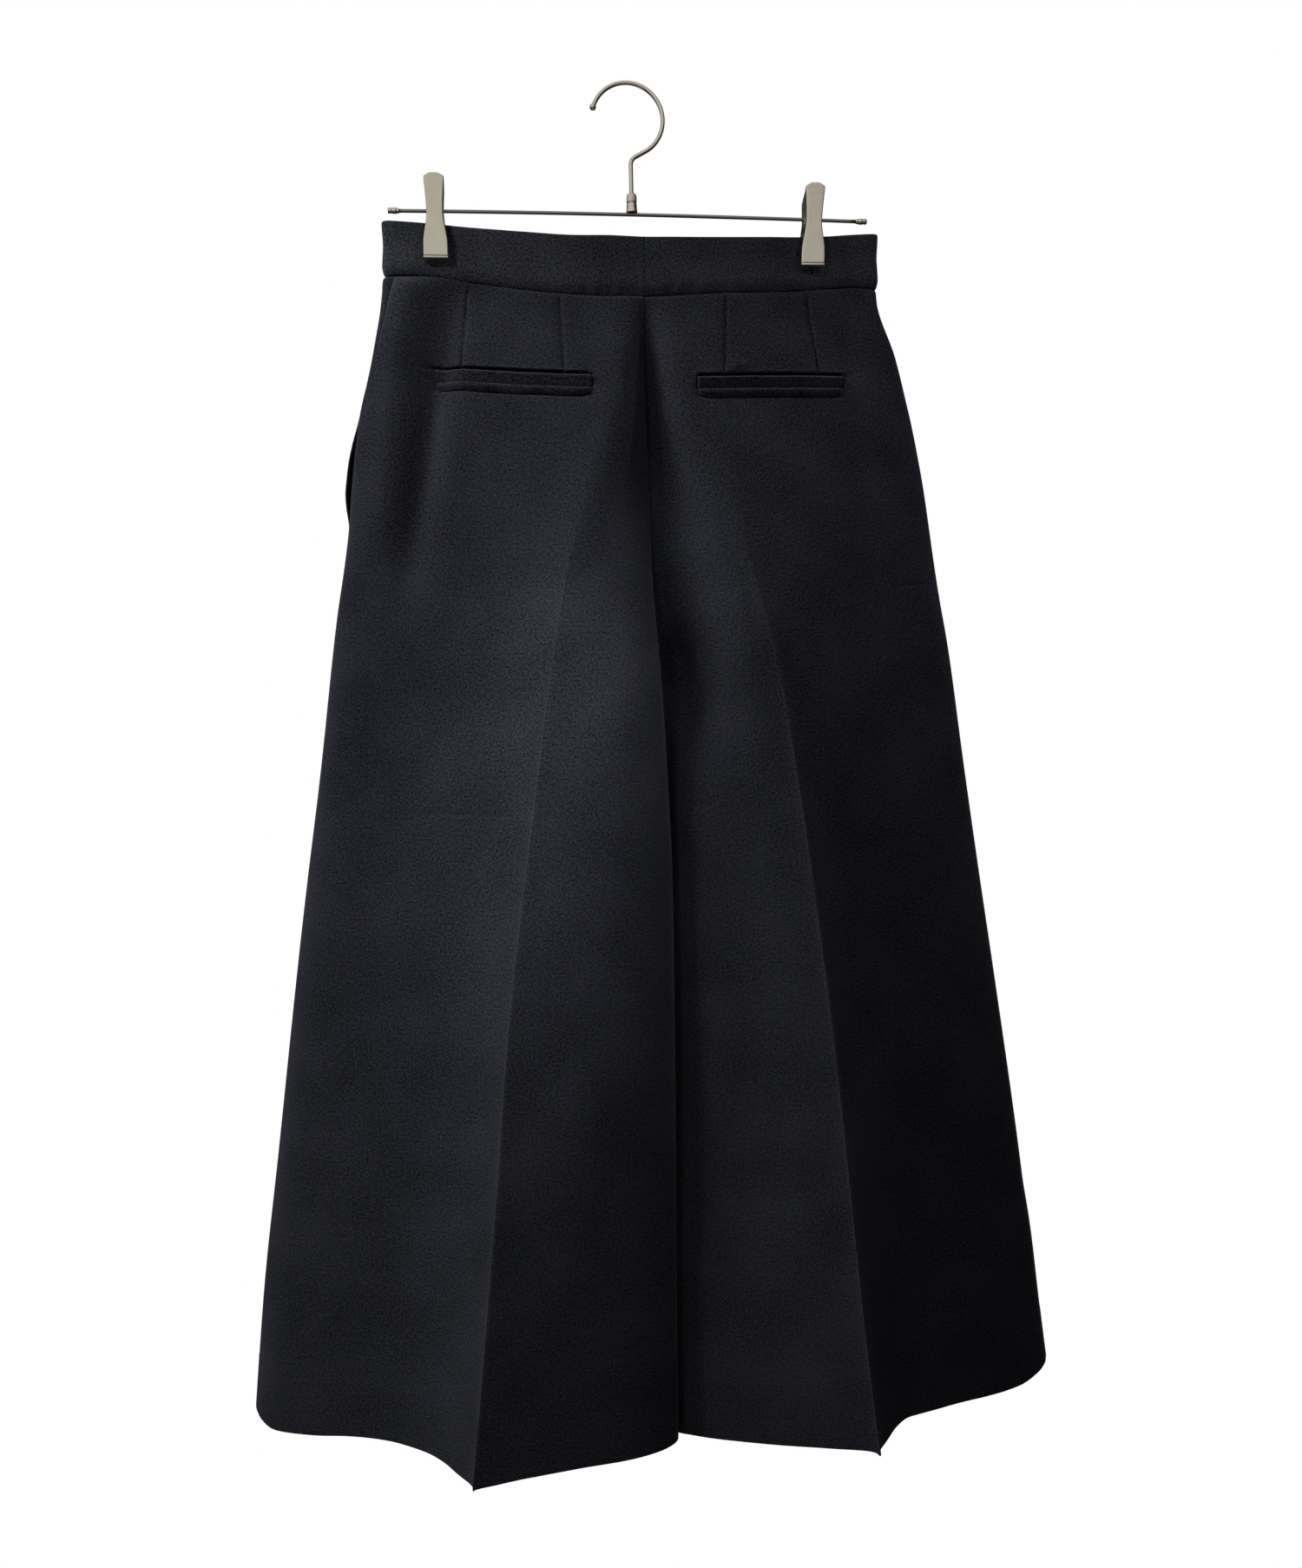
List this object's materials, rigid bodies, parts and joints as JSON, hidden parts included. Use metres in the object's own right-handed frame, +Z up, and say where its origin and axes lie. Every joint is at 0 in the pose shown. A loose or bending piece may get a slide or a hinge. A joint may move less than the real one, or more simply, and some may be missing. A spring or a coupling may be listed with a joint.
{
  "type": "culottes on a clip hanger",
  "caption": "Black flared culottes with pressed creases, hanging flat from a plain steel clip hanger and seen from the back.",
  "frame": {"origin": "inside of the hook's top, where it rests on a rail; the garment hangs plumb below it", "axes": "+Z up, -Y the garment's back, which faces the viewer, +X the viewer's right"},
  "size_m": [0.5945, 0.1582, 0.9562],
  "materials": {
    "black_wool_twill": "heavy black wool twill, matte",
    "black_pocket_facing": "plain black cloth, matte",
    "polished_nickel": "polished nickel plate on steel",
    "satin_nickel_plate": "satin nickel plate on pressed steel"
  },
  "bodies": {
    "root": {"back_panel_left": "black_wool_twill", "back_panel_right": "black_wool_twill", "front_panel_left": "black_wool_twill", "front_panel_right": "black_wool_twill", "waistband_left": "black_wool_twill", "waistband_right": "black_wool_twill", "welt_upper_left": "black_wool_twill", "welt_upper_right": "black_wool_twill", "welt_lower_left": "black_wool_twill", "welt_lower_right": "black_wool_twill", "pocket_facing_left": "black_pocket_facing", "hook": "polished_nickel", "collar": "polished_nickel", "bar": "polished_nickel", "knob_left": "polished_nickel", "knob_right": "polished_nickel", "clip_left_spring": "polished_nickel", "clip_right_spring": "polished_nickel", "clip_left_near_jaw": "satin_nickel_plate", "clip_left_far_jaw": "satin_nickel_plate", "clip_right_near_jaw": "satin_nickel_plate", "clip_right_far_jaw": "satin_nickel_plate"}
  },
  "joints": []
}
